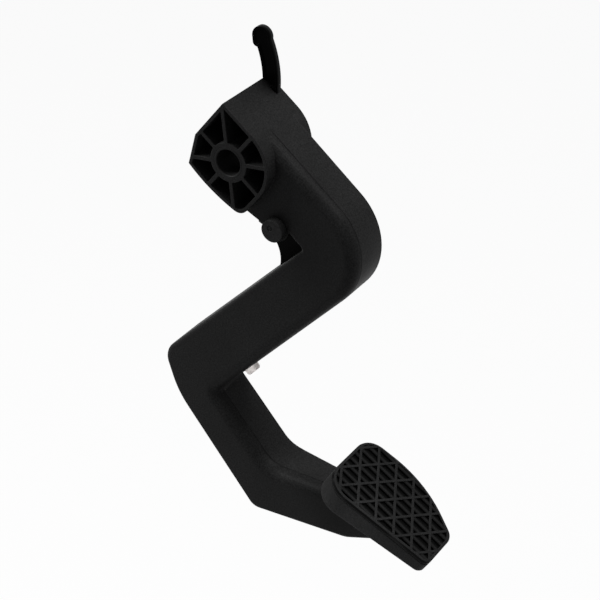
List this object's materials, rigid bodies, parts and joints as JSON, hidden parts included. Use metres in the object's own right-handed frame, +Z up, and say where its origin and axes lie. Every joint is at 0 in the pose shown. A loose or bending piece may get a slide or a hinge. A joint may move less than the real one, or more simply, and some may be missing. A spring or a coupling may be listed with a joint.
{
  "type": "hanging clutch pedal",
  "caption": "Hanging clutch pedal: moulded black arm with two bends, spoked pivot hub with bushes, push rod fork with pin, switch finger and ribbed rubber tread pad.",
  "frame": {"origin": "on the pivot axis, in the plane of the hub's near end", "axes": "+Y along the pivot axis, away from the near end; +Z up; +X towards the tread, which faces the driver"},
  "size_m": [0.195, 0.0567, 0.3182],
  "materials": {
    "arm_nylon": "fine-grained satin black",
    "pad_rubber": "satin black rubber",
    "bush_plastic": "satin black",
    "finger_plastic": "smooth black",
    "pin_plastic": "satin black",
    "clip_steel": "plain spring steel",
    "buffer_rubber": "soft pale grey"
  },
  "bodies": {
    "root": {"pedal_arm": "arm_nylon", "pedal_pad": "pad_rubber", "near_bush": "bush_plastic", "far_bush": "bush_plastic", "switch_finger": "finger_plastic", "push_rod_pin": "pin_plastic", "pin_clip": "clip_steel", "stop_buffer": "buffer_rubber"}
  },
  "joints": []
}
